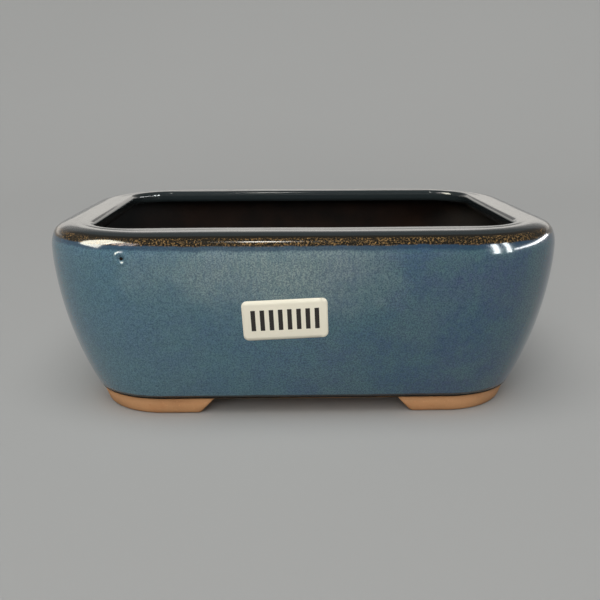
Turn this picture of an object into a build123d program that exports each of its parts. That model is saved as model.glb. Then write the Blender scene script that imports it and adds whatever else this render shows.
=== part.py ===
"""Small glazed bonsai pot: rounded-rectangle clay shell, glass skin, four corner feet and a stock label.

Frame: millimetres, +Z up, +X along the pot's length, -Y towards its front.
Origin: centre of the footprint, on the surface that the feet stand on.
"""

import os

from build123d import *

# ---- Driving dimensions (mm) ----
# Overall
pot_length = 160.0
pot_depth = 122.0
pot_height = 59.0
plan_corner_radius = 36.0

# Outer wall, as insets from the widest outline at heights above the base or drops below the rim
base_inset = 12.0
turn_inset = 8.8
turn_rise = 6.4
brow_inset = 0.25
brow_drop = 13.0
widest_drop = 7.6
rim_inset = 0.8
rim_edge_radius = 2.4
base_edge_radius = 0.6

# Shell
wall_thickness = 6.0
floor_thickness = 6.0
lip_width = 15.0
lip_thickness = 4.2
mouth_corner_radius = 14.0
mouth_edge_radius = 1.3
under_lip_radius = 4.0
floor_cove_radius = 6.0

# Drain holes
drain_hole_radius = 7.0
drain_hole_spacing = 60.0

# Glaze
glaze_thickness = 0.5
glaze_line_rise = 0.7

# Feet
foot_height = 5.8
foot_width = 13.0
foot_draft = 2.2
front_gap_half = 28.0
side_gap_half = 16.0
foot_end_run = 4.0
foot_edge_radius = 0.8

# Stock label
label_length = 24.6
label_height = 12.4
label_thickness = 0.25
label_corner_radius = 1.6
label_offset = -6.3
label_centre_height = 34.0
label_turn = 2.6

# ---- Worked out from the above ----
half_length = pot_length / 2
half_depth = pot_depth / 2
lip_underside = pot_height - lip_thickness
floor_top = foot_height + floor_thickness
glaze_line = foot_height + glaze_line_rise
core_radius = 4.0
core_inset = plan_corner_radius - core_radius
overlap = 1.0


def pot_plan(inset, radius):
    """The rounded-rectangle plan, drawn in all round by an inset, with its own corner radius."""
    return RectangleRounded(pot_length - 2 * inset, pot_depth - 2 * inset, radius)


def swept_round(section):
    """A section at the right end of the pot, carried round the corner and mirrored to all four quarters."""
    with BuildPart() as ring:
        with BuildLine():
            track = FilletPolyline(
                (half_length, 0), (half_length, half_depth), (0, half_depth), radius=plan_corner_radius
            )
        sweep(section.sketch, path=track)
        mirror(about=Plane.YZ)
        mirror(about=Plane.XZ)
    return ring.part


def filled_shape(inset=0.0, skin=0.0):
    """The pot's outside above its feet, filled in: drawn in by an inset, and thinner all over by a skin."""
    edge = half_length - inset
    widest = (edge, pot_height - widest_drop)
    brow_foot = (edge - brow_inset, pot_height - brow_drop)
    turn_top = (edge - turn_inset, foot_height + turn_rise)
    base_edge = (edge - base_inset, foot_height)
    rim_edge = (edge - rim_inset, pot_height)
    core_edge = half_length - core_inset
    with BuildSketch(Plane.XZ) as section:
        with BuildLine():
            TangentArc(widest, rim_edge, tangent=(0, 1))
            brow = TangentArc(widest, brow_foot, tangent=(0, -1))
            side = TangentArc(brow_foot, turn_top, tangent=brow % 1)
            TangentArc(turn_top, base_edge, tangent=side % 1)
            Polyline(rim_edge, (core_edge, pot_height), (core_edge, foot_height), base_edge)
        make_face()
        fillet(section.vertices().group_by(Axis.Y)[-1].sort_by(Axis.X)[-1], radius=rim_edge_radius)
        fillet(section.vertices().group_by(Axis.Y)[0].sort_by(Axis.X)[-1], radius=base_edge_radius)
        if skin:
            offset(amount=-skin, mode=Mode.REPLACE)
    with BuildPart() as shape:
        add(swept_round(section))
        with BuildSketch(Plane.XY.offset(foot_height + skin)):
            pot_plan(core_inset - overlap, core_radius + overlap)
        extrude(amount=pot_height - foot_height - 2 * skin)
    return shape.part


def lipped_block(skin=0.0):
    """The filled shape with the pot's mouth sunk into its top as far as the lip is thick."""
    with BuildPart() as block:
        add(filled_shape(skin=skin))
        with BuildSketch(Plane.XY.offset(lip_underside)):
            pot_plan(lip_width - skin, mouth_corner_radius + skin)
        extrude(amount=lip_thickness, mode=Mode.SUBTRACT)
        top = block.faces().sort_by(Axis.Z)[-1]
        fillet(top.inner_wires().edges(), radius=mouth_edge_radius - skin)
    return block.part


# ---- Clay shell ----
with BuildPart() as bare_base:
    add(filled_shape())
    split(bisect_by=Plane.XY.offset(glaze_line), keep=Keep.BOTTOM)

with BuildPart() as cavity:
    add(filled_shape(inset=wall_thickness))
    split(bisect_by=Plane.XY.offset(lip_underside), keep=Keep.BOTTOM)
    split(bisect_by=Plane.XY.offset(floor_top), keep=Keep.TOP)
    fillet(cavity.faces().sort_by(Axis.Z)[0].outer_wire().edges(), radius=floor_cove_radius)
    fillet(cavity.faces().sort_by(Axis.Z)[-1].outer_wire().edges(), radius=under_lip_radius)

with BuildPart() as pot_body:
    add(lipped_block(skin=glaze_thickness))
    add(bare_base.part)
    add(cavity.part, mode=Mode.SUBTRACT)
    with BuildSketch(Plane.XY.offset(foot_height)):
        with GridLocations(drain_hole_spacing, 0, 2, 1):
            Circle(drain_hole_radius)
    extrude(amount=floor_thickness + overlap, mode=Mode.SUBTRACT)

# ---- Glass skin ----
with BuildPart() as glaze_coat:
    add(lipped_block())
    add(lipped_block(skin=glaze_thickness), mode=Mode.SUBTRACT)
    split(bisect_by=Plane.XY.offset(glaze_line), keep=Keep.TOP)

# ---- Corner foot, rear right ----
foot_top_edge = half_length - base_inset - base_edge_radius
foot_sole_edge = foot_top_edge - foot_draft
foot_inner_edge = foot_top_edge - foot_width

with BuildSketch(Plane.XZ) as foot_section:
    with BuildLine():
        Polyline(
            (foot_top_edge, foot_height),
            (foot_sole_edge, 0),
            (foot_inner_edge, 0),
            (foot_inner_edge, foot_height),
            close=True,
        )
    make_face()

with BuildPart() as corner_foot:
    add(swept_round(foot_section))
    split(bisect_by=Plane.YZ, keep=Keep.TOP)
    split(bisect_by=Plane.XZ, keep=Keep.BOTTOM)
    for gap_plane, gap_half, reach in (
        (Plane.XZ, front_gap_half, -half_depth),
        (Plane.YZ, side_gap_half, half_length),
    ):
        with BuildSketch(gap_plane):
            with BuildLine():
                Polyline(
                    (-overlap, 0),
                    (gap_half + foot_end_run, 0),
                    (gap_half, foot_height),
                    (-overlap, foot_height),
                    close=True,
                )
            make_face()
        extrude(amount=reach, mode=Mode.SUBTRACT)
    fillet(corner_foot.edges().group_by(Axis.Z)[0], radius=foot_edge_radius)

# ---- Stock label, stuck to the front wall ----
with BuildPart() as stock_label:
    add(filled_shape(skin=-label_thickness))
    add(filled_shape(), mode=Mode.SUBTRACT)
    with BuildSketch(Plane.XZ):
        with Locations((label_offset, label_centre_height)):
            RectangleRounded(label_length, label_height, label_corner_radius, rotation=label_turn)
    extrude(amount=half_depth + overlap, mode=Mode.INTERSECT)

# ---- Write the pieces ----
os.makedirs("parts", exist_ok=True)

pot_body.part.label = "pot_body"
export_step(pot_body.part, "parts/pot_body.step")

glaze_coat.part.label = "glaze_coat"
export_step(glaze_coat.part, "parts/glaze_coat.step")

stock_label.part.label = "stock_label"
export_step(stock_label.part, "parts/stock_label.step")

foot_mirrors = {
    "foot_rear_right": [],
    "foot_rear_left": [Plane.YZ],
    "foot_front_right": [Plane.XZ],
    "foot_front_left": [Plane.YZ, Plane.XZ],
}
for foot_name, mirror_planes in foot_mirrors.items():
    with BuildPart() as foot:
        add(corner_foot.part)
        for mirror_plane in mirror_planes:
            mirror(about=mirror_plane, mode=Mode.REPLACE)
    foot.part.label = foot_name
    export_step(foot.part, f"parts/{foot_name}.step")
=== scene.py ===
"""Glazed bonsai pot on a pale studio floor: clay shell, glass skin, four corner feet, paper stock label.

Laid out as an add-on and run as a script. Metres, +Z up, +X along the pot, -Y towards its front.
"""

import math

import bmesh
import bpy
from bpy.props import FloatProperty, FloatVectorProperty, IntProperty, PointerProperty
from bpy.types import Operator, Panel, PropertyGroup
from mathutils import Matrix, Vector, noise
from mathutils.bvhtree import BVHTree


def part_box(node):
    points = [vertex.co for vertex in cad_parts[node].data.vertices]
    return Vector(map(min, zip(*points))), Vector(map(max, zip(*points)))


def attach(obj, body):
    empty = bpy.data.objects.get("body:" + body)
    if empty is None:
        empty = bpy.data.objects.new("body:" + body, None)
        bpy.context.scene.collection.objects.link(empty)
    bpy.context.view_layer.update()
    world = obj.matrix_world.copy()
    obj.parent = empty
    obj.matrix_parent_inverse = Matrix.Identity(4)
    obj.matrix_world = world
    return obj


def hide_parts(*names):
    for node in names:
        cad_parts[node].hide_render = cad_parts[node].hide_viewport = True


bl_info = {
    "name": "Glazed Bonsai Pot",
    "version": (1, 0, 0),
    "blender": (4, 5, 0),
    "location": "3D View > Sidebar > Bonsai Pot",
    "description": "Builds a small glazed bonsai pot, its feet and its stock label around the packed frame",
    "category": "Add Mesh",
}

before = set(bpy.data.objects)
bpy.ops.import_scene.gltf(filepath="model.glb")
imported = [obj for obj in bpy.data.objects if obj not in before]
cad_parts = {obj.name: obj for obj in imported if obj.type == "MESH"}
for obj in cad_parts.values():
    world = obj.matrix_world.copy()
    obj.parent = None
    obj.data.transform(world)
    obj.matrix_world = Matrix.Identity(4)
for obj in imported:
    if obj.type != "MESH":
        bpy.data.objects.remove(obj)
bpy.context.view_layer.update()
GLAZE_LOW, GLAZE_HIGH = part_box("glaze_coat")
LABEL_LOW, LABEL_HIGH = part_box("stock_label")
FOOT_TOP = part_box("foot_front_left")[1].z
FRONT_GAP_HALF = -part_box("foot_front_left")[1].x
SIDE_GAP_HALF = -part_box("foot_front_left")[1].y

MM = 0.001
HALF_LENGTH = GLAZE_HIGH.x
HALF_DEPTH = GLAZE_HIGH.y
RIM_HEIGHT = GLAZE_HIGH.z
GLAZE_LINE = GLAZE_LOW.z
UP = Vector((0, 0, 1))
RIGHT = Vector((1, 0, 0))
TINY = 1e-6
CROWN_SLACK = 0.5 * MM
BASE_EDGE = 0.6 * MM
BASE_CORE = 2 * MM
INSIDE_LEAN_LESS = 2 * MM
HOLE_SIDES = 48
FOOT_SOFTNESS = 1.1 * MM
SHEET_LIFT = 0.02 * MM
SHEET_THICKNESS = 0.16 * MM
SWELL_SHIFT = Vector((3.7, 1.9, 5.3))
FEET = ("foot_front_left", "foot_front_right", "foot_rear_left", "foot_rear_right")


# ---- Sizes and colours that a user may change ----
def length(name, default, description):
    return FloatProperty(name=name, default=default, description=description, unit="LENGTH", precision=5)


def colour(name, default, description):
    return FloatVectorProperty(
        name=name, default=default, description=description, subtype="COLOR", size=3, min=0.0, max=1.0
    )


class PotShape(PropertyGroup):
    """Sizes of the pot that its packed boxes don't give."""

    plan_radius: length("Plan corner radius", 36 * MM, "Radius of the widest outline's corners")
    base_inset: length("Base inset", 12 * MM, "How far the base edge lies inside the widest outline")
    turn_inset: length("Turn inset", 8.8 * MM, "Inset where the wall starts to turn under")
    turn_rise: length("Turn rise", 6.4 * MM, "Height of that turn above the base")
    brow_inset: length("Brow inset", 0.25 * MM, "Inset where the wall starts to turn upright")
    brow_drop: length("Brow drop", 13 * MM, "Drop of that turn below the rim")
    widest_drop: length("Widest drop", 7.6 * MM, "Drop of the widest outline below the rim")
    roll_inset: length("Roll inset", 0.9 * MM, "Inset where the wall rolls over towards the lip")
    roll_drop: length("Roll drop", 3.2 * MM, "Drop of that roll below the rim")
    shoulder_inset: length("Shoulder inset", 3 * MM, "Inset where the roll flattens into the lip")
    shoulder_drop: length("Shoulder drop", 1.05 * MM, "Drop of that shoulder below the rim")
    crown_width: length("Crown width", 8.6 * MM, "Inset where the lip's top has become nearly level")
    crown_drop: length("Crown drop", 0.13 * MM, "Drop of that crown below the rim")
    lip_width: length("Lip width", 15 * MM, "Width of the lip over the walls")
    lip_thickness: length("Lip thickness", 4.2 * MM, "Thickness of the lip at the mouth")
    mouth_radius: length("Mouth corner radius", 14 * MM, "Radius of the mouth's corners")
    mouth_edge: length("Mouth edge radius", 1.7 * MM, "Rounding of the lip's inner edge")
    wall: length("Wall thickness", 6 * MM, "Thickness of the clay wall")
    floor: length("Floor thickness", 6 * MM, "Thickness of the clay floor")
    cove: length("Floor cove", 6 * MM, "Radius between wall and floor inside")
    under_lip: length("Under-lip radius", 4 * MM, "Radius between wall and lip inside")
    glaze: length("Glaze thickness", 0.5 * MM, "Thickness of the glass skin")
    hole_radius: length("Drain hole radius", 7 * MM, "Radius of each drain hole")
    hole_spacing: length("Drain hole spacing", 60 * MM, "Distance between the two drain holes")
    foot_width: length("Foot width", 13 * MM, "Width of a foot under the wall")
    foot_draft: length("Foot draft", 2.2 * MM, "How far a foot narrows towards its sole")
    foot_end_run: length("Foot end run", 5 * MM, "Slope of a foot's ends")
    foot_end_reach: length("Foot end reach", 16 * MM, "Length of foot that its end's slope draws on")
    label_turn: FloatProperty(
        name="Label turn", default=math.radians(2.6), subtype="ANGLE",
        description="How crooked the label is stuck"
    )
    label_length: length("Label length", 24.6 * MM, "Length of the paper label")
    label_height: length("Label height", 12.4 * MM, "Height of the paper label")
    label_corner: length("Label corner radius", 1.6 * MM, "Radius of the label's corners")
    blister_place: FloatVectorProperty(
        name="Blister place", default=(-52.2 * MM, 52.2 * MM), size=2, subtype="XYZ", unit="LENGTH",
        description="Where the burst blister sits on the front wall, along and up"
    )
    blister_radius: length("Blister radius", 1.5 * MM, "Radius of the blister's raised ring")
    blister_depth: length("Blister depth", 0.8 * MM, "Depth of the blister's hollow")
    hand: length("Hand waver", 0.35 * MM, "How far the hand-made surfaces wander from true")
    pitch: length("Mesh pitch", 1.1 * MM, "Spacing of the glaze's mesh")


class PotFinish(PropertyGroup):
    """Colours of the pot's finishes."""

    glaze_deep: colour("Glaze deep", (0.014, 0.036, 0.075), "Dark blue specks and pools in the glaze")
    glaze_blue: colour("Glaze blue", (0.042, 0.088, 0.155), "Main slate blue of the glaze")
    glaze_green: colour("Glaze green", (0.072, 0.155, 0.150), "Grey-green crystals in the glaze")
    # Partly the glaze's colour and partly painted light: the left side is made lighter as if lit from the
    # front left
    glaze_teal_and_painted_light: colour("Glaze teal", (0.125, 0.250, 0.310), "Lighter teal wash over the pot's left")
    glaze_violet: colour("Glaze violet", (0.075, 0.092, 0.165), "Violet blush in the glaze")
    # Painted highlight: this pale colour stands in for a soft reflection on the upper front wall
    glaze_painted_highlight: colour("Glaze pale", (0.300, 0.370, 0.340), "Milky haze under the front of the rim")
    # Painted shade: the lip's top and inner face get a near-black colour instead of the blue glaze
    lip_painted_shade: colour("Lip dark", (0.020, 0.027, 0.029), "Dark glaze on the lip")
    rim_brown: colour("Rim brown", (0.310, 0.185, 0.070), "Glaze where it breaks thin over the rim")
    # Dark glaze under the brown break's specks; also a painted dark reflection in a line at the rim's
    # shoulder, and painted shade along the glaze's foot and on the clay below it
    dark_glaze_painted_shade_and_reflection: colour("Rim dark", (0.012, 0.010, 0.006), "Dark line beside the thin glaze")
    # Painted shade: the inside of the pot is the feet's clay in shade, painted near-black and dark brown
    painted_shade_inside: colour("Clay inside", (0.004, 0.0035, 0.003), "Black stain inside the pot")
    painted_shade_brown: colour("Clay worn", (0.016, 0.008, 0.005), "Brown clay where the stain is thin")
    clay_foot: colour("Clay foot", (0.480, 0.250, 0.115), "Bare clay of the feet and base")
    clay_flash: colour("Clay flash", (0.380, 0.130, 0.045), "Rust flashing on the bare clay")
    paper: colour("Paper", (0.840, 0.790, 0.650), "Paper of the stock label")
    ink: colour("Ink", (0.018, 0.014, 0.011), "Ink of the label's plain bars")
    floor: colour("Floor", (0.400, 0.402, 0.397), "Studio floor and backdrop")
    # Place and reach of the painted highlight on the upper front wall
    painted_highlight_place: FloatVectorProperty(
        name="Haze place", default=(-9 * MM, -60 * MM, 49 * MM), subtype="TRANSLATION", unit="LENGTH",
        description="Where the milky haze in the glaze is thickest"
    )
    painted_highlight_reach: FloatVectorProperty(
        name="Haze reach", default=(36 * MM, 50 * MM, 14 * MM), subtype="XYZ", unit="LENGTH",
        description="How far the milky haze reaches along, across and up"
    )


class StageSetup(PropertyGroup):
    """Camera and studio."""

    camera_at: FloatVectorProperty(
        name="Camera place", default=(-6.3 * MM, -272.6 * MM, 95 * MM), subtype="TRANSLATION",
        unit="LENGTH", description="Where the camera stands"
    )
    camera_turn: FloatVectorProperty(
        name="Camera turn", default=(math.pi / 2 - 0.253, -0.003, -0.020), subtype="EULER",
        description="Tilt, roll and heading of the camera"
    )
    lens: FloatProperty(
        name="Lens", default=46.38, unit="CAMERA", description="Focal length for a 36 mm sensor"
    )
    floor_radius: length("Floor radius", 0.5, "Radius of the flat floor")
    sweep_width: length("Sweep width", 1.15, "Width of the curve from floor to backdrop")
    sweep_height: length("Sweep height", 0.48, "Height that the backdrop curves up to")
    facets: IntProperty(name="Facets", default=120, description="Sides of the round backdrop")
    sky_strength: FloatProperty(
        name="Sky strength", default=0.12, description="Brightness of the dim room"
    )
    key_strength: FloatProperty(
        name="Key strength", default=2.15, description="Strength of the wide overhead light"
    )
    fill_power: FloatProperty(
        name="Fill power", default=17.0, unit="POWER", description="Power of the front fill"
    )


# ---- Mesh helpers ----
def section_point(inset, height, back=0.0):
    """A point of a section at the pot's right end, by its inset from the widest outline and its height."""
    return Vector((HALF_LENGTH - inset, back, height))


def edges_in(geometry):
    return [item for item in geometry if isinstance(item, bmesh.types.BMEdge)]


def last_vert(spun):
    return next(item for item in spun["geom_last"] if isinstance(item, bmesh.types.BMVert))


def line_to(bm, start, end, pitch):
    """Carries a vertex along a straight line in even steps, and gives the last vertex."""
    run = end - start.co
    steps = max(1, round(run.length / pitch))
    return last_vert(
        bmesh.ops.spin(bm, geom=[start], cent=start.co, axis=UP, dvec=run / steps, angle=0, steps=steps)
    )


def arc_to(bm, start, heading, end, pitch):
    """Carries a vertex along the arc that leaves in a heading and ends at a point.

    Gives the last vertex and the heading there.
    """
    chord = end - start.co
    side = chord - chord.project(heading)
    radius = chord.length_squared / (2 * side.length)
    angle = 2 * heading.angle(chord)
    axis = heading.cross(side).normalized()
    steps = max(2, round(radius * angle / pitch))
    centre = start.co + side.normalized() * radius
    spun = bmesh.ops.spin(bm, geom=[start], cent=centre, axis=axis, angle=angle, steps=steps)
    return last_vert(spun), Matrix.Rotation(angle, 3, axis) @ heading


def carry_round(bm, chain, counts, radius, inset, stop=0.0):
    """Carries a section back along the side, round the corner and in along the rear as far as a stop."""
    rows, turns, columns = counts
    back = chain[0].verts[0].co.y
    centre = Vector((HALF_LENGTH - inset - radius, HALF_DEPTH - inset - radius, 0))
    runs = (
        {"dvec": (0, (centre.y - back) / rows, 0), "angle": 0, "steps": rows},
        {"angle": math.pi / 2, "steps": turns},
        {"dvec": ((stop - centre.x) / columns, 0, 0), "angle": 0, "steps": columns},
    )
    for run in runs:
        chain = edges_in(bmesh.ops.spin(bm, geom=chain, cent=centre, axis=UP, **run)["geom_last"])
    return chain


def draw_and_carry(bm, draw, counts, radius, inset):
    """Draws a section as a chain of edges and carries it round a quarter of the pot."""
    known = set(bm.edges)
    draw()
    carry_round(bm, [edge for edge in bm.edges if edge not in known], counts, radius, inset)


def borders_at(bm, height, slack):
    """Open edges near a height, without those on the planes where the quarters meet."""
    found = []
    for edge in bm.edges:
        level = all(abs(vert.co.z - height) < slack for vert in edge.verts)
        seam = any(all(abs(vert.co[i]) < TINY for vert in edge.verts) for i in (0, 1))
        if level and not seam and len(edge.link_faces) < 2:
            found.append(edge)
    return found


def bridge_at(bm, height, cuts, slack=TINY):
    """Joins the two borders near a height with a strip of faces, cut into rows."""
    bridged = bmesh.ops.bridge_loops(bm, edges=borders_at(bm, height, slack))
    bmesh.ops.subdivide_edges(bm, edges=bridged["edges"], cuts=cuts)


def mirror_quarters(bm):
    """Mirrors a quarter to the left and to the front, and welds the seams."""
    for axis in "XY":
        bmesh.ops.mirror(bm, geom=bm.verts[:] + bm.edges[:] + bm.faces[:], axis=axis, merge_dist=TINY)
    bmesh.ops.remove_doubles(bm, verts=bm.verts[:], dist=TINY)


def face_outwards(bm):
    """Turns every face outwards, judged by the lowest face in front."""
    bmesh.ops.recalc_face_normals(bm, faces=bm.faces[:])
    front = min(bm.faces, key=lambda face: face.calc_center_median().y)
    if front.normal.y > 0:
        bmesh.ops.reverse_faces(bm, faces=bm.faces[:])


def hand_waver(bm, depth):
    """Lets a true surface wander inwards, as a hand-made one does, in broad swells and smaller ripples.

    The soles stay flat: the waver fades out down the feet.
    """
    swell_scale, swell_share = 22.0, 0.42
    ripple_scale, ripple_share = 75.0, 0.08
    bm.normal_update()
    for vert in bm.verts:
        swell = noise.noise(vert.co * swell_scale + SWELL_SHIFT)
        ripple = noise.noise(vert.co * ripple_scale - SWELL_SHIFT)
        share = 0.5 + swell_share * swell + ripple_share * ripple
        standing = min(1.0, max(0.0, vert.co.z / FOOT_TOP))
        vert.co -= vert.normal * depth * min(1.0, max(0.0, share)) * standing


def make_piece(bm, name, material, nodes):
    """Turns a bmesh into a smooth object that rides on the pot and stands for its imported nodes."""
    mesh = bpy.data.meshes.new(name)
    bm.to_mesh(mesh)
    bm.free()
    mesh.shade_smooth()
    mesh.materials.append(material)
    piece = bpy.data.objects.new(name, mesh)
    bpy.context.scene.collection.objects.link(piece)
    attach(piece, "root")
    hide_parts(*nodes)
    return piece


# ---- Sections of the pot ----
def draw_wall(bm, shape, skin, foot_inset, foot_height, pitch):
    """The outer wall: from its widest point down to its foot, and up over the roll to the lip's top."""
    widest = bm.verts.new(section_point(skin, RIM_HEIGHT - shape.widest_drop))
    down = (
        section_point(shape.brow_inset + skin, RIM_HEIGHT - shape.brow_drop),
        section_point(shape.turn_inset + skin, FOOT_TOP + shape.turn_rise),
        section_point(foot_inset, foot_height),
    )
    vert, heading = widest, -UP
    for end in down:
        vert, heading = arc_to(bm, vert, heading, end, pitch)
    up = (
        section_point(shape.roll_inset + skin, RIM_HEIGHT - shape.roll_drop - skin / 2),
        section_point(shape.shoulder_inset + skin, RIM_HEIGHT - shape.shoulder_drop - skin),
        section_point(shape.crown_width + skin, RIM_HEIGHT - shape.crown_drop - skin),
    )
    vert, heading = widest, UP
    for end in up:
        vert, heading = arc_to(bm, vert, heading, end, pitch / 2)


def draw_mouth(bm, shape, skin, pitch):
    """The lip's inner edge: from its top round to its inner face, and down to its underside."""
    inset = shape.lip_width - skin
    edge = shape.mouth_edge - skin
    reach = shape.mouth_edge / 2
    top = bm.verts.new(section_point(inset - edge - reach, RIM_HEIGHT - skin))
    vert = line_to(bm, top, section_point(inset - edge, RIM_HEIGHT - skin), pitch)
    face_top = section_point(inset, RIM_HEIGHT - skin - edge)
    vert, _ = arc_to(bm, vert, -RIGHT, face_top, pitch / 3)
    line_to(bm, vert, section_point(inset, RIM_HEIGHT - shape.lip_thickness), pitch)


def quarter_counts(shape, pitch):
    """Rows along the side, turns round the corner and columns along the rear, for one quarter."""
    corner = Vector((HALF_LENGTH - shape.plan_radius, HALF_DEPTH - shape.plan_radius))
    return round(corner.y / pitch), round(shape.plan_radius * math.pi / 2 / pitch), round(corner.x / pitch)


# ---- Material helpers ----
def add_node(tree, kind, settings=None, **inputs):
    """Adds a node, sets its own settings, and sets or links its inputs.

    An input goes by its name, with _ for a space, or by its place: i0 is the first.
    """
    node = tree.nodes.new(kind)
    for name, value in (settings or {}).items():
        setattr(node, name, value)
    for name, value in inputs.items():
        by_place = name[0] == "i" and name[1:].isdigit()
        socket = node.inputs[int(name[1:]) if by_place else name.replace("_", " ")]
        if isinstance(value, bpy.types.NodeSocket):
            tree.links.new(value, socket)
        else:
            socket.default_value = value
    return node


def add_math(tree, operation, first, second=0.0):
    return add_node(tree, "ShaderNodeMath", {"operation": operation}, i0=first, i1=second).outputs[0]


def add_range(tree, value, low, high, to_low=0.0, to_high=1.0):
    """A value eased from one range to another."""
    ranged = add_node(
        tree, "ShaderNodeMapRange", {"interpolation_type": "SMOOTHSTEP"}, Value=value,
        From_Min=low, From_Max=high, To_Min=to_low, To_Max=to_high
    )
    return ranged.outputs["Result"]


def add_mix(tree, share, first, second):
    """Two colours mixed by a share."""
    mixed = add_node(tree, "ShaderNodeMix", {"data_type": "RGBA"}, i0=share, i6=first, i7=second)
    return mixed.outputs[2]


def lay_over(tree, mask, share, under, over):
    """A colour laid over another where a mask lets it, at most by a share."""
    return add_mix(tree, add_math(tree, "MULTIPLY", mask, share), under, over)


def add_noise(tree, vector, scale, detail=2.0, roughness=0.5):
    noise_node = add_node(
        tree, "ShaderNodeTexNoise", Vector=vector, Scale=scale, Detail=detail, Roughness=roughness
    )
    return noise_node.outputs["Fac"]


def opaque(rgb):
    return (*rgb, 1.0)


def new_group(name, inputs, outputs):
    """A shader node group with named sockets. Gives the tree, its input node and its output node."""
    tree = bpy.data.node_groups.new(name, "ShaderNodeTree")
    for label, kind in inputs:
        tree.interface.new_socket(label, in_out="INPUT", socket_type="NodeSocket" + kind)
    for label, kind in outputs:
        tree.interface.new_socket(label, in_out="OUTPUT", socket_type="NodeSocket" + kind)
    return tree, tree.nodes.new("NodeGroupInput"), tree.nodes.new("NodeGroupOutput")


def use_group(tree, name, **inputs):
    """Places a node group in a material, making it the first time."""
    makers = {"Speckle": speckle_group, "Mottle": mottle_group, "Band": band_group}
    group = bpy.data.node_groups.get(name) or makers[name]()
    return add_node(tree, "ShaderNodeGroup", {"node_tree": group}, **inputs)


def speckle_group():
    """Fine specks: where a small-scale noise rises above a level."""
    tree, given, out = new_group(
        "Speckle",
        (("Vector", "Vector"), ("Scale", "Float"), ("Level", "Float"), ("Softness", "Float")),
        (("Mask", "Float"),),
    )
    grain = add_noise(tree, given.outputs["Vector"], given.outputs["Scale"], 4.0, 0.7)
    top = add_math(tree, "ADD", given.outputs["Level"], given.outputs["Softness"])
    tree.links.new(add_range(tree, grain, given.outputs["Level"], top), out.inputs["Mask"])
    return tree


def mottle_group():
    """Two colours that drift into each other in clouds."""
    tree, given, out = new_group(
        "Mottle",
        (("Vector", "Vector"), ("Scale", "Float"), ("Sharpness", "Float"), ("First", "Color"),
         ("Second", "Color")),
        (("Color", "Color"), ("Share", "Float")),
    )
    cloud = add_noise(tree, given.outputs["Vector"], given.outputs["Scale"], 4.0)
    spread = add_math(tree, "DIVIDE", 0.25, given.outputs["Sharpness"])
    low = add_math(tree, "SUBTRACT", 0.5, spread)
    high = add_math(tree, "ADD", 0.5, spread)
    share = add_range(tree, cloud, low, high)
    tree.links.new(share, out.inputs["Share"])
    mixed = add_mix(tree, share, given.outputs["First"], given.outputs["Second"])
    tree.links.new(mixed, out.inputs["Color"])
    return tree


def band_group():
    """A band along a running value, with soft and wavy borders."""
    tree, given, out = new_group(
        "Band",
        (("Vector", "Vector"), ("Run", "Float"), ("Middle", "Float"), ("Half", "Float"), ("Soft", "Float"),
         ("Waver", "Float"), ("Scale", "Float")),
        (("Mask", "Float"),),
    )
    ripple = add_noise(tree, given.outputs["Vector"], given.outputs["Scale"], 3.0)
    wave = add_math(tree, "SUBTRACT", ripple, 0.5)
    shift = add_math(tree, "MULTIPLY", wave, given.outputs["Waver"])
    shifted = add_math(tree, "ADD", given.outputs["Run"], shift)
    away = add_math(tree, "ABSOLUTE", add_math(tree, "SUBTRACT", shifted, given.outputs["Middle"]))
    edge = add_math(tree, "ADD", given.outputs["Half"], given.outputs["Soft"])
    tree.links.new(add_range(tree, away, given.outputs["Half"], edge, 1.0, 0.0), out.inputs["Mask"])
    return tree


def new_material(name):
    """A material with a plain Principled shader.

    Gives the material, its tree, its shader and the object's own coordinates.
    """
    material = bpy.data.materials.new(name)
    material.use_nodes = True
    tree = material.node_tree
    shader = tree.nodes["Principled BSDF"]
    vector = tree.nodes.new("ShaderNodeTexCoord").outputs["Object"]
    return material, tree, shader, vector


def add_bump(tree, shader, height, distance, strength=1.0):
    bump = add_node(tree, "ShaderNodeBump", Height=height, Distance=distance, Strength=strength)
    tree.links.new(bump.outputs["Normal"], shader.inputs["Normal"])


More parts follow.
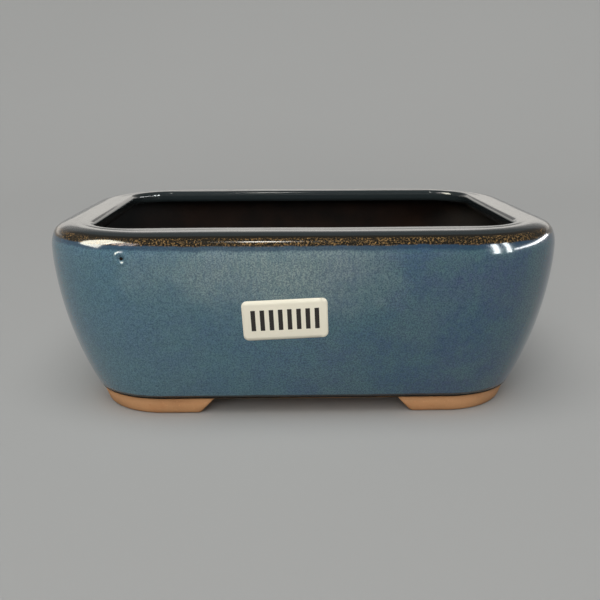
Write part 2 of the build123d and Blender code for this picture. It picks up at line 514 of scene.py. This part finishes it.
def glaze_material(finish):
    """Blue-green glass: clouds, a teal fade towards the left that is partly painted light, a pale patch of
    painted highlight on the upper front, and dark grain.

    It is brown where it breaks over the rim, with a line of painted dark reflection at the rim's shoulder,
    painted shade over the lip, and a dark line along its foot that is partly the glaze's edge and partly
    painted shade.
    """
    material, tree, shader, vector = new_material("glaze")
    run = add_node(tree, "ShaderNodeAttribute", {"attribute_name": "from_rim"}).outputs["Fac"]
    place_of = add_node(tree, "ShaderNodeSeparateXYZ", i0=vector)

    # The wall's colours
    clouds = use_group(
        tree, "Mottle", Vector=vector, Scale=110.0, Sharpness=1.7, First=opaque(finish.glaze_blue),
        Second=opaque(finish.glaze_green)
    )
    blush = use_group(
        tree, "Mottle", Vector=vector, Scale=60.0, Sharpness=1.5, First=opaque(finish.glaze_blue),
        Second=opaque(finish.glaze_violet)
    )
    tone = add_mix(tree, 0.45, clouds.outputs["Color"], blush.outputs["Color"])
    # Teal fade from the left: partly the glaze's colour, partly painted light that makes the left side
    # lighter
    drift = add_math(tree, "MULTIPLY", add_noise(tree, vector, 30.0), 40 * MM)
    along = add_math(tree, "ADD", place_of.outputs["X"], drift)
    wash_and_painted_light = add_range(tree, along, -60 * MM, 80 * MM, 0.65, 0.0)
    tone = add_mix(tree, wash_and_painted_light, tone, opaque(finish.glaze_teal_and_painted_light))
    crystals = use_group(tree, "Speckle", Vector=vector, Scale=800.0, Level=0.36, Softness=0.34)
    tone = lay_over(tree, crystals.outputs["Mask"], 0.45, tone, opaque(finish.glaze_green))

    # Painted highlight: an egg-shaped pale cloud of fine upright streaks, a soft highlight painted on the
    # upper front wall
    painted_highlight_size = [1 / reach for reach in finish.painted_highlight_reach]
    painted_highlight_place = add_node(
        tree, "ShaderNodeMapping", Vector=vector, Scale=painted_highlight_size,
        Location=[-middle * size for middle, size in zip(finish.painted_highlight_place, painted_highlight_size)]
    )
    spread = add_node(tree, "ShaderNodeVectorMath", {"operation": "LENGTH"}, i0=painted_highlight_place.outputs[0])
    wander = add_math(tree, "MULTIPLY", add_noise(tree, vector, 70.0), 1.1)
    painted_highlight = add_range(tree, add_math(tree, "ADD", spread.outputs["Value"], wander), 0.5, 1.9, 0.8, 0.0)
    upright = add_node(tree, "ShaderNodeMapping", Vector=vector, Scale=(1.0, 1.0, 0.25)).outputs[0]
    streaks = use_group(tree, "Speckle", Vector=upright, Scale=1500.0, Level=0.32, Softness=0.36)
    streaked = add_range(tree, streaks.outputs["Mask"], 0.0, 1.0, 0.6, 1.0)
    tone = lay_over(tree, painted_highlight, streaked, tone, opaque(finish.glaze_painted_highlight))
    grain = use_group(tree, "Speckle", Vector=vector, Scale=2400.0, Level=0.40, Softness=0.22)
    tone = lay_over(tree, grain.outputs["Mask"], 0.62, tone, opaque(finish.glaze_deep))

    # The lip in painted shade, and the bands along the rim and the glaze's foot
    # Painted shade over the lip's top and inner face
    tone = add_mix(tree, add_range(tree, run, 1.0 * MM, 2.2 * MM), tone, opaque(finish.lip_painted_shade))
    fringe = use_group(
        tree, "Band", Vector=vector, Run=run, Middle=-2.9 * MM, Half=0.6 * MM, Soft=1.2 * MM,
        Waver=2.4 * MM, Scale=110.0
    )
    tone = lay_over(tree, fringe.outputs["Mask"], 0.7, tone, opaque(finish.glaze_deep))
    brown = use_group(
        tree, "Band", Vector=vector, Run=run, Middle=-0.1 * MM, Half=1.9 * MM, Soft=0.8 * MM,
        Waver=2.0 * MM, Scale=110.0
    )
    gold = use_group(tree, "Speckle", Vector=vector, Scale=1900.0, Level=0.48, Softness=0.20)
    pools = use_group(tree, "Speckle", Vector=vector, Scale=48.0, Level=0.46, Softness=0.20)
    pooled = add_range(tree, pools.outputs["Mask"], 0.0, 1.0, 1.0, 0.35)
    grains = lay_over(
        tree, gold.outputs["Mask"], pooled, opaque(finish.dark_glaze_painted_shade_and_reflection), opaque(finish.rim_brown)
    )
    tone = add_mix(tree, brown.outputs["Mask"], tone, grains)
    # Painted dark reflection: a dark line at the rim's shoulder where the glaze faces the dark room above
    line = use_group(
        tree, "Band", Vector=vector, Run=run, Middle=2.1 * MM, Half=0.35 * MM, Soft=0.7 * MM,
        Waver=1.0 * MM, Scale=120.0
    )
    tone = add_mix(tree, line.outputs["Mask"], tone, opaque(finish.dark_glaze_painted_shade_and_reflection))
    # Dark line along the glaze's foot: partly the glaze's own dark edge, partly painted shade where the
    # body meets the feet
    foot_line = use_group(
        tree, "Band", Vector=vector, Run=place_of.outputs["Z"], Middle=GLAZE_LINE, Half=0.4 * MM,
        Soft=0.6 * MM, Waver=0.5 * MM, Scale=150.0
    )
    tone = add_mix(tree, foot_line.outputs["Mask"], tone, opaque(finish.dark_glaze_painted_shade_and_reflection))
    tree.links.new(tone, shader.inputs["Base Color"])

    shader.inputs["Roughness"].default_value = 0.14
    shader.inputs["IOR"].default_value = 1.45
    shader.inputs["Coat Weight"].default_value = 0.4
    shader.inputs["Coat Roughness"].default_value = 0.03
    shader.inputs["Coat IOR"].default_value = 1.45
    add_bump(tree, shader, add_noise(tree, vector, 330.0), 0.05 * MM, 0.3)
    return material


def clay_material(name, finish, grog_scale, painted_shade_height=None):
    """Bare fired clay: clouds, coarse grains, pores and rust flashing.

    Given a height, it is painted near-black and brown above it as painted shade inside the pot, and gets a
    dark line of painted shade just below the glaze.
    """
    material, tree, shader, vector = new_material(name)
    clouds = use_group(
        tree, "Mottle", Vector=vector, Scale=90.0, Sharpness=0.8, First=opaque(finish.clay_foot),
        Second=opaque([channel * 0.8 for channel in finish.clay_foot])
    )
    rust = use_group(tree, "Speckle", Vector=vector, Scale=60.0, Level=0.5, Softness=0.25)
    tone = lay_over(
        tree, rust.outputs["Mask"], 0.4, clouds.outputs["Color"], opaque(finish.clay_flash)
    )
    grains = use_group(tree, "Speckle", Vector=vector, Scale=grog_scale, Level=0.6, Softness=0.08)
    pale_clay = [min(1.0, channel * 1.5) for channel in finish.clay_foot]
    tone = lay_over(tree, grains.outputs["Mask"], 0.3, tone, opaque(pale_clay))
    pores = use_group(tree, "Speckle", Vector=vector, Scale=grog_scale * 0.7, Level=0.64, Softness=0.05)
    tone = lay_over(tree, pores.outputs["Mask"], 0.6, tone, opaque(finish.clay_flash))
    if painted_shade_height is not None:
        # Painted shade: above the height the clay is painted near-black and dark brown
        height = add_node(tree, "ShaderNodeSeparateXYZ", i0=vector).outputs["Z"]
        painted_shade_share = add_range(tree, height, painted_shade_height - MM, painted_shade_height + MM)
        painted_shade_tone = use_group(
            tree, "Mottle", Vector=vector, Scale=45.0, Sharpness=1.5, First=opaque(finish.painted_shade_inside),
            Second=opaque(finish.painted_shade_brown)
        )
        tone = add_mix(tree, painted_shade_share, tone, painted_shade_tone.outputs["Color"])
        # Painted shade: a dark line on the clay just below the glaze, where shade falls between the body
        # and the feet
        painted_shade_line = use_group(
            tree, "Band", Vector=vector, Run=height, Middle=GLAZE_LINE - 0.1 * MM, Half=0.35 * MM,
            Soft=0.15 * MM, Waver=0.2 * MM, Scale=200.0
        )
        tone = add_mix(tree, painted_shade_line.outputs["Mask"], tone, opaque(finish.dark_glaze_painted_shade_and_reflection))
    tree.links.new(tone, shader.inputs["Base Color"])
    shader.inputs["Roughness"].default_value = 0.85
    shader.inputs["Specular IOR Level"].default_value = 0.2
    lumps = add_noise(tree, vector, grog_scale * 0.8, 4.0)
    tooth = add_math(tree, "SUBTRACT", lumps, pores.outputs["Mask"])
    add_bump(tree, shader, tooth, 0.12 * MM, 0.7)
    return material


def paper_material(finish):
    """Uncoated paper with faint fibres, printed with a row of plain bars."""
    bars, margin, half_tall = 8, 0.1, 0.26
    material, tree, shader, vector = new_material("label_paper")
    place = add_node(tree, "ShaderNodeSeparateXYZ", i0=add_node(tree, "ShaderNodeUVMap").outputs[0])
    fibres = use_group(tree, "Speckle", Vector=vector, Scale=2400.0, Level=0.5, Softness=0.3)
    fibre = [channel * 0.7 for channel in finish.paper]
    paper = lay_over(tree, fibres.outputs["Mask"], 0.12, opaque(finish.paper), opaque(fibre))
    across, up = place.outputs["X"], place.outputs["Y"]
    from_margin = add_math(tree, "SUBTRACT", across, margin)
    counted = add_math(tree, "MULTIPLY", from_margin, (bars - 0.5) / (1 - 2 * margin))
    step = add_math(tree, "FRACT", counted)
    bar = add_math(tree, "LESS_THAN", step, 0.5)
    within = add_math(tree, "COMPARE", across, 0.5)
    within.node.inputs[2].default_value = 0.5 - margin
    tall = add_math(tree, "COMPARE", up, 0.5)
    tall.node.inputs[2].default_value = half_tall
    inked = add_math(tree, "MULTIPLY", bar, add_math(tree, "MULTIPLY", within, tall))
    tree.links.new(add_mix(tree, inked, paper, opaque(finish.ink)), shader.inputs["Base Color"])
    shader.inputs["Roughness"].default_value = 0.62
    add_bump(tree, shader, fibres.outputs["Mask"], 0.02 * MM, 0.4)
    return material


def studio_material(finish):
    """Matt painted studio floor with a trace of cloudiness."""
    material, tree, shader, vector = new_material("studio_floor")
    clouds = use_group(
        tree, "Mottle", Vector=vector, Scale=1.1, Sharpness=0.6, First=opaque(finish.floor),
        Second=opaque([channel * 0.96 for channel in finish.floor])
    )
    tree.links.new(clouds.outputs["Color"], shader.inputs["Base Color"])
    shader.inputs["Roughness"].default_value = 0.9
    shader.inputs["Specular IOR Level"].default_value = 0.0
    return material


# ---- Operators: one for each piece or group of like pieces, and one for the stage ----
class POT_OT_clay_shell(Operator):
    """Builds the bare clay shell under the glass, its inside, its base and its drain holes"""

    bl_idname = "pot.clay_shell"
    bl_label = "Clay Shell"

    def execute(self, context):
        shape, finish = context.scene.pot_shape, context.scene.pot_finish
        pitch = 2 * shape.pitch
        counts = quarter_counts(shape, pitch)
        underside = RIM_HEIGHT - shape.lip_thickness
        floor_top = FOOT_TOP + shape.floor
        bm = bmesh.new()

        def outside():
            draw_wall(bm, shape, shape.glaze, shape.base_inset, FOOT_TOP, pitch)
            base = min(bm.verts, key=lambda vert: vert.co.z)
            line_to(bm, base, section_point(shape.plan_radius - BASE_CORE, FOOT_TOP), pitch)

        def mouth():
            draw_mouth(bm, shape, shape.glaze, pitch)

        def inside():
            lip_foot = bm.verts.new(section_point(shape.wall + shape.under_lip, underside))
            widest = section_point(shape.wall, underside - shape.under_lip)
            brow = section_point(shape.wall + shape.brow_inset, RIM_HEIGHT - shape.brow_drop)
            turn_inset = shape.wall + shape.turn_inset - INSIDE_LEAN_LESS
            turn = section_point(turn_inset, floor_top + shape.cove)
            vert, _ = arc_to(bm, lip_foot, RIGHT, widest, pitch)
            vert, heading = arc_to(bm, vert, -UP, brow, pitch)
            vert, _ = arc_to(bm, vert, heading, turn, pitch)
            arc_to(bm, vert, -UP, section_point(turn_inset + shape.cove, floor_top), pitch)

        draw_and_carry(bm, outside, counts, shape.plan_radius, 0.0)
        draw_and_carry(bm, mouth, counts, shape.mouth_radius, shape.lip_width)
        bridge_at(bm, RIM_HEIGHT - shape.glaze, 1, CROWN_SLACK)
        draw_and_carry(bm, inside, counts, shape.plan_radius, 0.0)
        bridge_at(bm, underside, 1)
        mirror_quarters(bm)
        for side in (-1, 1):
            self.drain_hole(bm, shape, side * shape.hole_spacing / 2, floor_top, pitch)
        for height in (FOOT_TOP, floor_top):
            border = [
                edge for edge in bm.edges
                if edge.is_boundary and all(abs(vert.co.z - height) < TINY for vert in edge.verts)
            ]
            bmesh.ops.triangle_fill(bm, edges=border, use_beauty=True)
        face_outwards(bm)
        hand_waver(bm, shape.hand)
        # Painted shade over the inside, above half the floor's thickness
        material = clay_material("bare_clay", finish, 900.0, painted_shade_height=FOOT_TOP + shape.floor / 2)
        make_piece(bm, "clay_shell", material, ["pot_body"])
        return {"FINISHED"}

    def drain_hole(self, bm, shape, across, floor_top, pitch):
        """One drain hole's wall, rounded at both ends, spun round its axis."""
        soft = 1.0 * MM
        edge_at = across + shape.hole_radius
        known = set(bm.edges)
        top = bm.verts.new((edge_at + soft, 0, floor_top))
        vert, _ = arc_to(bm, top, -RIGHT, Vector((edge_at, 0, floor_top - soft)), soft / 3)
        vert = line_to(bm, vert, Vector((edge_at, 0, FOOT_TOP + soft)), pitch)
        arc_to(bm, vert, -UP, Vector((edge_at + soft, 0, FOOT_TOP)), soft / 3)
        chain = [edge for edge in bm.edges if edge not in known]
        bmesh.ops.spin(
            bm, geom=chain, cent=(across, 0, 0), axis=UP, angle=2 * math.pi, steps=HOLE_SIDES,
            use_merge=True
        )


class POT_OT_glaze_coat(Operator):
    """Builds the glass skin over the walls, the lip's top and the lip's inner face"""

    bl_idname = "pot.glaze_coat"
    bl_label = "Glaze Coat"

    def execute(self, context):
        shape, finish = context.scene.pot_shape, context.scene.pot_finish
        counts = quarter_counts(shape, shape.pitch)
        bm = bmesh.new()
        run = bm.verts.layers.float.new("from_rim")

        def outside():
            draw_wall(bm, shape, 0.0, shape.base_inset - shape.glaze, GLAZE_LINE, shape.pitch)
            for vert in bm.verts:
                vert[run] = (HALF_LENGTH - vert.co.x) - (RIM_HEIGHT - vert.co.z)

        def mouth():
            known = set(bm.verts)
            draw_mouth(bm, shape, 0.0, shape.pitch)
            for vert in set(bm.verts) - known:
                vert[run] = (HALF_LENGTH - vert.co.x) + (RIM_HEIGHT - vert.co.z)

        draw_and_carry(bm, outside, counts, shape.plan_radius, 0.0)
        draw_and_carry(bm, mouth, counts, shape.mouth_radius, shape.lip_width)
        bridge_at(bm, RIM_HEIGHT, 2, CROWN_SLACK)
        mirror_quarters(bm)
        face_outwards(bm)
        hand_waver(bm, shape.hand)
        self.blister(bm, shape)
        piece = make_piece(bm, "glaze_skin", glaze_material(finish), ["glaze_coat"])
        skin = piece.modifiers.new("Skin", "SOLIDIFY")
        skin.thickness = shape.glaze
        skin.offset = -1.0
        return {"FINISHED"}

    def blister(self, bm, shape):
        """A burst blister in the front wall: a small hollow in a raised ring, on a finer patch of mesh."""
        along, up = shape.blister_place
        radius = shape.blister_radius
        front = shape.lip_width / 2 - HALF_DEPTH
        finer_patches = (3.2, 2.6)
        touched = 2.0
        hollow_width = 0.55
        ring_width, ring_share = 0.35, 0.35

        def away(co):
            return math.hypot(co.x - along, co.z - up)

        for reach in finer_patches:
            patch = [
                edge for edge in bm.edges
                if edge.verts[0].co.y < front and max(away(vert.co) for vert in edge.verts) < reach * radius
            ]
            bmesh.ops.subdivide_edges(bm, edges=patch, cuts=1, use_grid_fill=True)
        bm.normal_update()
        for vert in bm.verts:
            if vert.co.y < front and away(vert.co) < touched * radius:
                share = away(vert.co) / radius
                hollow = math.exp(-((share / hollow_width) ** 2))
                ring = ring_share * math.exp(-(((share - 1.0) / ring_width) ** 2))
                vert.co += vert.normal * shape.blister_depth * (ring - hollow)


class POT_OT_corner_feet(Operator):
    """Builds the four unglazed corner feet"""

    bl_idname = "pot.corner_feet"
    bl_label = "Corner Feet"

    def execute(self, context):
        shape, finish = context.scene.pot_shape, context.scene.pot_finish
        material = clay_material("foot_clay", finish, 1100.0)
        for name in FEET:
            bm = self.corner_foot(shape)
            flips = [-1 if word in name else 1 for word in ("left", "front")]
            bmesh.ops.scale(bm, vec=(*flips, 1), verts=bm.verts[:])
            bmesh.ops.recalc_face_normals(bm, faces=bm.faces[:])
            hand_waver(bm, shape.hand)
            make_piece(bm, name.replace("foot", "clay_foot"), material, [name])
        return {"FINISHED"}

    def corner_foot(self, shape):
        """The rear right foot: a section carried round the corner, with sloping ends and softened edges."""
        pitch = 2 * shape.pitch
        top_inset = shape.base_inset + BASE_EDGE
        inner_inset = top_inset + shape.foot_width
        corners = (
            (top_inset, FOOT_TOP),
            (top_inset + shape.foot_draft, 0.0),
            (inner_inset, 0.0),
            (inner_inset, FOOT_TOP),
        )
        rows, turns, columns = quarter_counts(shape, pitch)
        rows = max(2, round(rows / 3))
        columns = max(2, round(columns / 3))
        bm = bmesh.new()
        verts = [bm.verts.new(section_point(inset, height, SIDE_GAP_HALF)) for inset, height in corners]
        first = [bm.edges.new((verts[i], verts[i - 1])) for i in range(len(verts))]
        last = carry_round(bm, first, (rows, turns, columns), shape.plan_radius, 0.0, stop=FRONT_GAP_HALF)
        for end in (first, last):
            bmesh.ops.edgeloop_fill(bm, edges=end)
        bmesh.ops.recalc_face_normals(bm, faces=bm.faces[:])
        for vert in bm.verts:
            slope = shape.foot_end_run * (1 - vert.co.z / FOOT_TOP)
            vert.co.y += slope * max(0.0, 1 - (vert.co.y - SIDE_GAP_HALF) / shape.foot_end_reach)
            vert.co.x += slope * max(0.0, 1 - (vert.co.x - FRONT_GAP_HALF) / shape.foot_end_reach)
        long_edges = [edge for edge in bm.edges if edge.calc_face_angle(0) > math.radians(30)]
        soft = [edge for edge in long_edges if min(vert.co.z for vert in edge.verts) < FOOT_TOP - TINY]
        bmesh.ops.bevel(
            bm, geom=soft, affect="EDGES", offset=FOOT_SOFTNESS, segments=4, profile=0.5, material=-1,
            clamp_overlap=True
        )
        return bm


class POT_OT_stock_label(Operator):
    """Sticks the paper stock label on the front wall"""

    bl_idname = "pot.stock_label"
    bl_label = "Stock Label"

    def execute(self, context):
        shape, finish = context.scene.pot_shape, context.scene.pot_finish
        wall = bmesh.new()
        wall.from_mesh(bpy.data.objects["glaze_skin"].data)
        tree = BVHTree.FromBMesh(wall)
        wall.free()
        bm = bmesh.new()
        bmesh.ops.create_grid(bm, x_segments=1, y_segments=1, size=0.5)
        bmesh.ops.scale(bm, vec=(shape.label_length, shape.label_height, 1), verts=bm.verts[:])
        bmesh.ops.bevel(
            bm, geom=bm.verts[:], affect="VERTICES", offset=shape.label_corner, segments=6, profile=0.5,
            material=-1
        )
        for axis, size in ((0, shape.label_length), (1, shape.label_height)):
            normal = Vector((axis == 0, axis == 1, 0))
            for cut in range(1, round(size / MM)):
                bmesh.ops.bisect_plane(
                    bm, geom=bm.verts[:] + bm.edges[:] + bm.faces[:],
                    plane_co=normal * (cut * MM - size / 2), plane_no=normal
                )
        uv = bm.loops.layers.uv.new("UVMap")
        for face in bm.faces:
            for loop in face.loops:
                place = loop.vert.co
                loop[uv].uv = (place.x / shape.label_length + 0.5, place.y / shape.label_height + 0.5)
        middle = (LABEL_LOW + LABEL_HIGH) / 2
        for angle, axis in ((shape.label_turn, "Z"), (math.pi / 2, "X")):
            turn = Matrix.Rotation(angle, 3, axis)
            bmesh.ops.rotate(bm, verts=bm.verts[:], cent=(0, 0, 0), matrix=turn)
        bmesh.ops.translate(bm, verts=bm.verts[:], vec=(middle.x, 0, middle.z))
        for vert in bm.verts:
            hit = tree.ray_cast(Vector((vert.co.x, -2 * HALF_DEPTH, vert.co.z)), Vector((0, 1, 0)))
            if hit[0] is None:
                raise RuntimeError("the label hangs over the edge of the wall")
            vert.co.y = hit[0].y - SHEET_LIFT
        face_outwards(bm)
        piece = make_piece(bm, "paper_label", paper_material(finish), ["stock_label"])
        sheet = piece.modifiers.new("Sheet", "SOLIDIFY")
        sheet.thickness = SHEET_THICKNESS
        sheet.offset = 1.0
        return {"FINISHED"}


class POT_OT_stage(Operator):
    """Sets up the floor, the backdrop, the lights and the camera"""

    bl_idname = "pot.stage"
    bl_label = "Studio"

    def execute(self, context):
        setup, finish = context.scene.pot_stage, context.scene.pot_finish
        self.backdrop(setup, finish)
        self.lights(setup)
        world = bpy.data.worlds.new("studio_world")
        world.use_nodes = True
        background = world.node_tree.nodes["Background"]
        background.inputs["Color"].default_value = (1.0, 0.99, 0.97, 1.0)
        background.inputs["Strength"].default_value = setup.sky_strength
        context.scene.world = world
        camera = bpy.data.objects.new("camera", bpy.data.cameras.new("camera"))
        camera.data.lens = setup.lens
        tilt, roll, heading = setup.camera_turn
        camera.matrix_world = (
            Matrix.Translation(setup.camera_at) @ Matrix.Rotation(heading, 4, "Z")
            @ Matrix.Rotation(tilt, 4, "X") @ Matrix.Rotation(roll, 4, "Z")
        )
        camera.data.clip_start = 0.01
        context.scene.collection.objects.link(camera)
        context.scene.camera = camera
        context.scene.view_settings.view_transform = "Standard"
        context.scene.view_settings.look = "None"
        return {"FINISHED"}

    def backdrop(self, setup, finish):
        """A flat round floor that sweeps up into a backdrop all round."""
        floor_rings, sweep_rings = 4, 16
        bm = bmesh.new()
        middle = bm.verts.new((0, 0, 0))
        edge = line_to(bm, middle, RIGHT * setup.floor_radius, setup.floor_radius / floor_rings)
        sweep_end = Vector((setup.floor_radius + setup.sweep_width, 0, setup.sweep_height))
        arc_to(bm, edge, RIGHT, sweep_end, setup.sweep_width / sweep_rings)
        bmesh.ops.spin(
            bm, geom=bm.edges[:], cent=(0, 0, 0), axis=UP, angle=2 * math.pi, steps=setup.facets,
            use_merge=True
        )
        bmesh.ops.remove_doubles(bm, verts=bm.verts[:], dist=TINY)
        bmesh.ops.recalc_face_normals(bm, faces=bm.faces[:])
        mesh = bpy.data.meshes.new("studio_floor")
        bm.to_mesh(mesh)
        bm.free()
        mesh.shade_smooth()
        mesh.materials.append(studio_material(finish))
        floor = bpy.data.objects.new("studio_floor", mesh)
        bpy.context.scene.collection.objects.link(floor)

    def lights(self, setup):
        """A wide overhead key and a front fill, and lamps that show only as marks in the gloss."""
        key = self.add_light("overhead_key", "SUN", -10, 67, 2.0, (1.0, 1.0, 0.99))
        key.data.angle = math.radians(60)
        key.data.energy = setup.key_strength
        key.visible_glossy = False
        fill = self.add_light("front_fill", "AREA", -10, 15, 1.5, (1.0, 0.99, 0.97))
        fill.data.size = 1.1
        fill.data.energy = setup.fill_power
        fill.visible_glossy = False
        pane_tint = (1.0, 0.88, 0.86)
        bar_tint = (0.95, 1.0, 1.0)
        # Name, azimuth, rise, width and height, brightness, tint
        boxes = (
            ("rear_panel_low", 184, 9.5, (2.3, 0.145), 0.60, (1.0, 0.94, 0.86)),
            ("rear_panel_middle", 184, 16.4, (2.3, 0.145), 0.26, (1.0, 0.95, 0.90)),
            ("rear_panel_high", 184, 24, (2.3, 0.17), 0.14, (1.0, 0.97, 0.95)),
            ("left_window", -76, 37, (0.42, 0.74), 15.0, (1.0, 0.96, 0.80)),
            ("left_pane_first", -63, 42, (0.06, 0.34), 12.0, pane_tint),
            ("left_pane_second", -54, 42, (0.06, 0.30), 10.0, pane_tint),
            ("left_pane_third", -46, 42, (0.05, 0.36), 12.0, pane_tint),
            ("left_pane_fourth", -39.5, 42, (0.035, 0.26), 10.0, pane_tint),
            ("left_pane_fifth", -34.5, 42, (0.03, 0.30), 10.0, pane_tint),
            ("right_bar_inner", 46, 14, (0.11, 0.42), 24.0, bar_tint),
            ("right_bar_outer", 59, 14, (0.09, 0.42), 24.0, bar_tint),
            ("right_strip", 94, 8, (1.1, 0.06), 18.0, (0.97, 0.98, 1.0)),
            ("front_lamp", -5, 66, (0.07, 0.13), 26.0, (1.0, 0.96, 0.88)),
        )
        for name, azimuth, rise, size, brightness, tint in boxes:
            box = self.add_light(name, "AREA", azimuth, rise, 1.0, tint)
            box.data.shape = "RECTANGLE"
            box.data.size, box.data.size_y = size
            box.data.energy = math.pi * size[0] * size[1] * brightness
            box.visible_camera = False
            box.visible_diffuse = False

    def add_light(self, name, kind, azimuth, rise, distance, tint):
        """A light that faces the pot, placed by its azimuth from the front and its rise, in degrees."""
        light = bpy.data.objects.new(name, bpy.data.lights.new(name, kind))
        turn, lift = math.radians(azimuth), math.radians(rise)
        away = Vector((math.sin(turn) * math.cos(lift), -math.cos(turn) * math.cos(lift), math.sin(lift)))
        light.location = away * distance + UP * RIM_HEIGHT
        light.rotation_euler = away.to_track_quat("Z", "Y").to_euler()
        light.data.color = tint
        bpy.context.scene.collection.objects.link(light)
        return light


class POT_PT_sidebar(Panel):
    """Lists the pot's pieces and the studio"""

    bl_idname = "POT_PT_sidebar"
    bl_label = "Bonsai Pot"
    bl_space_type = "VIEW_3D"
    bl_region_type = "UI"
    bl_category = "Bonsai Pot"

    def draw(self, context):
        for operator in OPERATORS:
            self.layout.operator(operator.bl_idname)
        for group, name in SETTINGS.items():
            box = self.layout.box()
            for setting in group.__annotations__:
                box.prop(getattr(context.scene, name), setting)


OPERATORS = (POT_OT_clay_shell, POT_OT_glaze_coat, POT_OT_corner_feet, POT_OT_stock_label, POT_OT_stage)
SETTINGS = {PotShape: "pot_shape", PotFinish: "pot_finish", StageSetup: "pot_stage"}


def register():
    for group, name in SETTINGS.items():
        bpy.utils.register_class(group)
        setattr(bpy.types.Scene, name, PointerProperty(type=group))
    for operator in OPERATORS:
        bpy.utils.register_class(operator)
    bpy.utils.register_class(POT_PT_sidebar)


def unregister():
    bpy.utils.unregister_class(POT_PT_sidebar)
    for operator in reversed(OPERATORS):
        bpy.utils.unregister_class(operator)
    for group, name in SETTINGS.items():
        delattr(bpy.types.Scene, name)
        bpy.utils.unregister_class(group)


def main():
    register()
    bpy.ops.pot.clay_shell()
    bpy.ops.pot.glaze_coat()
    bpy.ops.pot.corner_feet()
    bpy.ops.pot.stock_label()
    bpy.ops.pot.stage()


if __name__ == "__main__":
    main()
